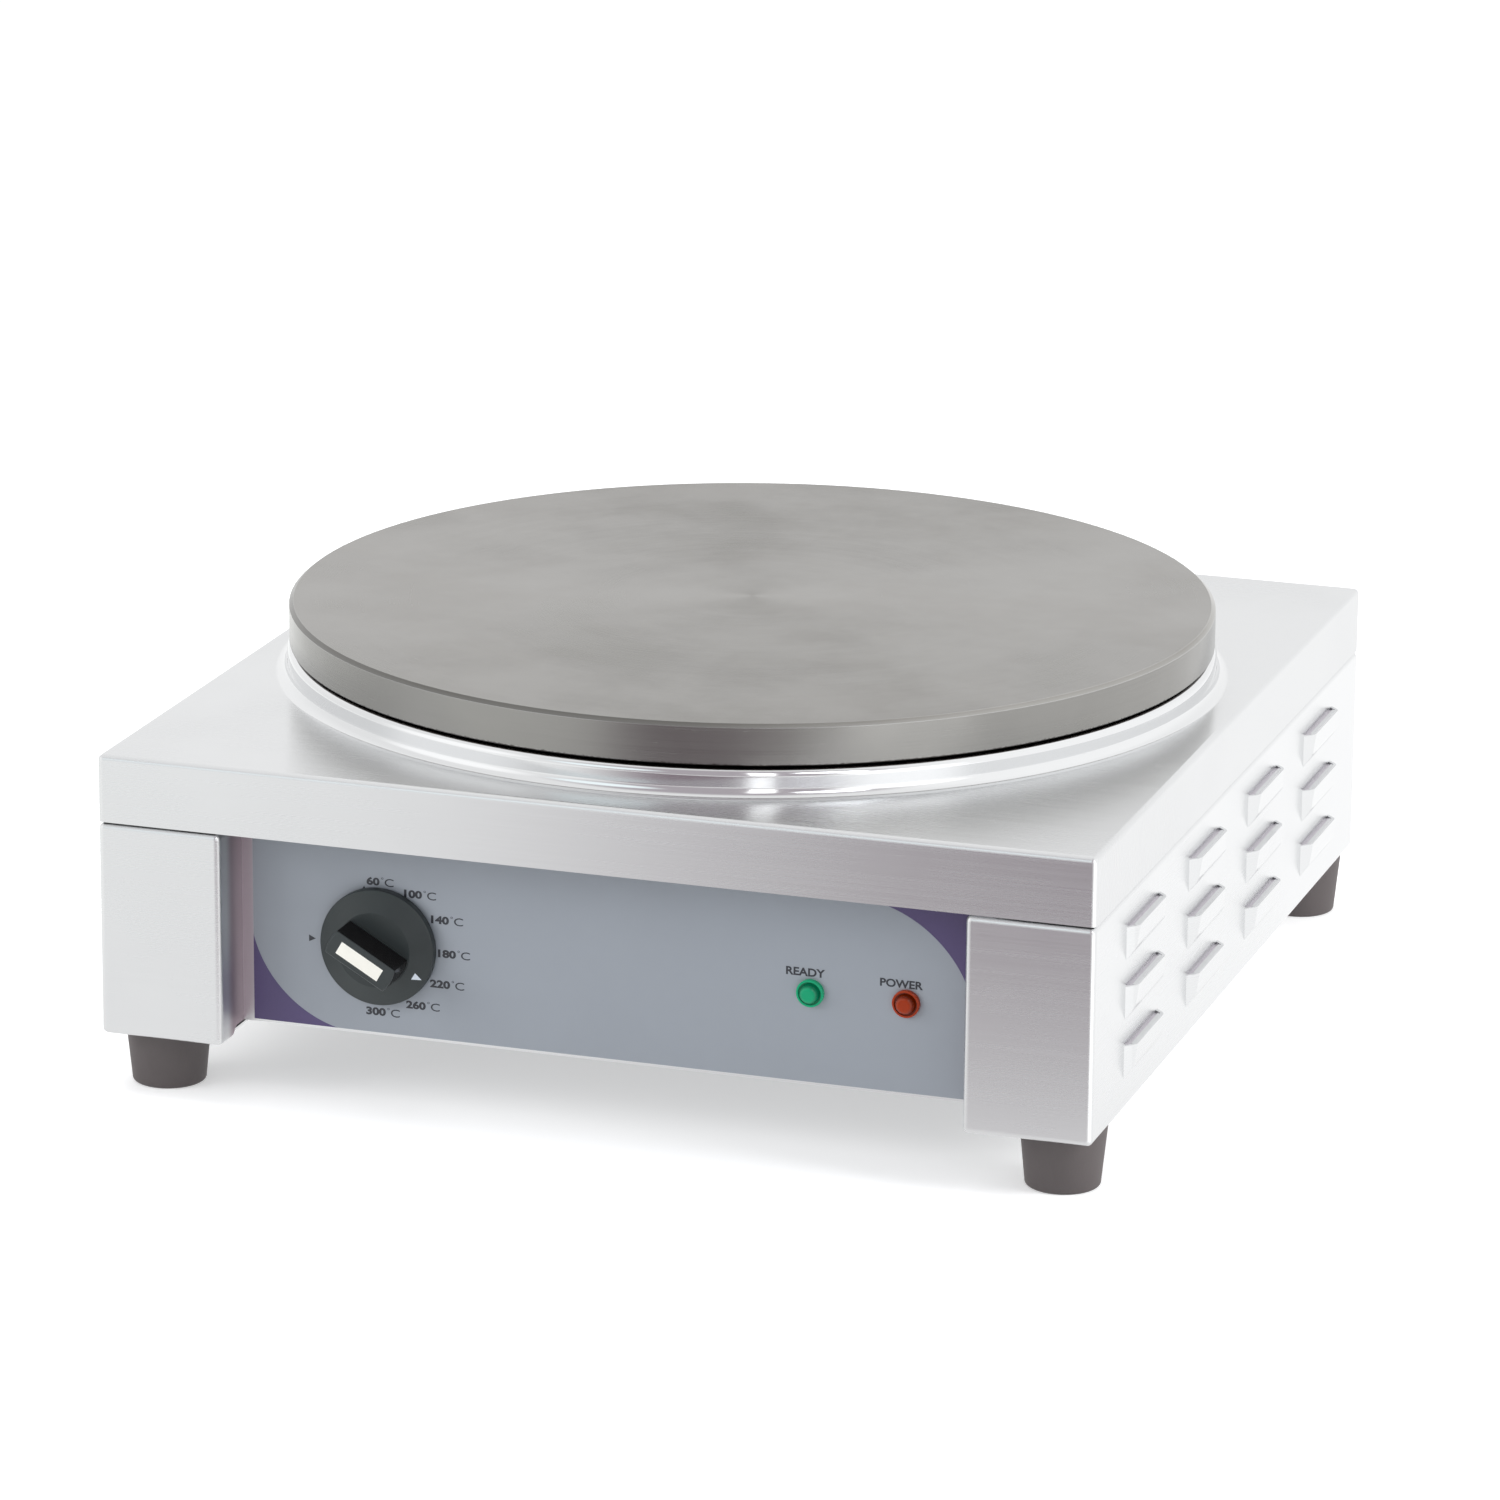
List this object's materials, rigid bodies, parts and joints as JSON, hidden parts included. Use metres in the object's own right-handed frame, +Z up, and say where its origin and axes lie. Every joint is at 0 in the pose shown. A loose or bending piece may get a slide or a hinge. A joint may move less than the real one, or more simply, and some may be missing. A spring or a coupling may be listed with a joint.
{
  "type": "electric crepe maker",
  "caption": "Countertop crepe maker: round cast-iron plate on a drawn stainless cover, folded louvred housing, recessed panel with a turning thermostat knob and lamps.",
  "frame": {"origin": "on the table, under the middle of the whole machine's bounding box", "axes": "+X to the right of someone facing the controls, -Y towards that person, +Z up"},
  "size_m": [0.4364, 0.457, 0.1777],
  "materials": {
    "cover_steel": "brushed stainless steel, satin, grain across the front",
    "side_steel": "brushed stainless steel, satin, grain upright",
    "panel_steel": "brushed stainless steel",
    "inner_steel": "plain zinc-coated sheet",
    "overlay_film": "satin printed film, blue-grey with violet corners",
    "cast_plate": "turned and seasoned cast iron, satin",
    "gasket_fibre": "dark heat-proof fibre",
    "insulation_fibre": "white ceramic-fibre blanket",
    "heater_sheath": "heat-stained alloy sheath",
    "ceramic": "unglazed white steatite",
    "fastener_steel": "plated steel",
    "brass_metal": "plain brass",
    "knob_black": "moulded black thermoset, fine satin",
    "knob_mark": "cream insert, smooth",
    "green_lens": "translucent green",
    "amber_lens": "translucent amber",
    "black_plastic": "moulded black plastic",
    "foot_rubber": "dark grey rubber, matt"
  },
  "bodies": {
    "housing": {"top_cover": "cover_steel", "right_side_panel": "side_steel", "left_side_panel": "side_steel", "front_panel": "panel_steel", "front_overlay": "overlay_film", "panel_rivets": "fastener_steel", "rear_panel": "panel_steel", "base_plate": "inner_steel", "cover_brackets": "inner_steel", "cooking_plate": "cast_plate", "plate_gasket": "gasket_fibre", "heat_shield_tray": "inner_steel", "insulation_disc": "insulation_fibre", "outer_heating_element": "heater_sheath", "inner_heating_element": "heater_sheath", "terminal_beads": "ceramic", "terminal_pins": "fastener_steel", "element_clamp": "inner_steel", "plate_studs": "fastener_steel", "clamp_nuts": "fastener_steel", "tray_nuts": "fastener_steel", "thermostat_body": "black_plastic", "thermostat_screws": "fastener_steel", "thermostat_bulb": "brass_metal", "bulb_clip": "inner_steel", "ready_lamp_lens": "green_lens", "power_lamp_lens": "amber_lens", "ready_lamp_body": "black_plastic", "power_lamp_body": "black_plastic", "lamp_nuts": "fastener_steel", "terminal_block": "ceramic", "terminal_screws": "brass_metal", "cable_gland": "black_plastic", "gland_cap": "black_plastic", "gland_locknut": "black_plastic", "foot_front_left": "foot_rubber", "foot_front_right": "foot_rubber", "foot_rear_left": "foot_rubber", "foot_rear_right": "foot_rubber", "foot_screws": "fastener_steel", "foot_washers": "fastener_steel", "foot_nuts": "fastener_steel", "rear_panel_screws": "fastener_steel", "cover_screws": "fastener_steel", "base_screws": "fastener_steel"},
    "knob": {"control_knob": "knob_black", "knob_inlay": "knob_mark", "thermostat_spindle": "fastener_steel"}
  },
  "joints": [
    {"name": "knob_turn", "type": "hinge", "parent": "housing", "child": "knob", "pos_m": [-0.0986, -0.2055, 0.07], "axis": [0, 1, 0], "range_deg": [-210, 60]}
  ]
}
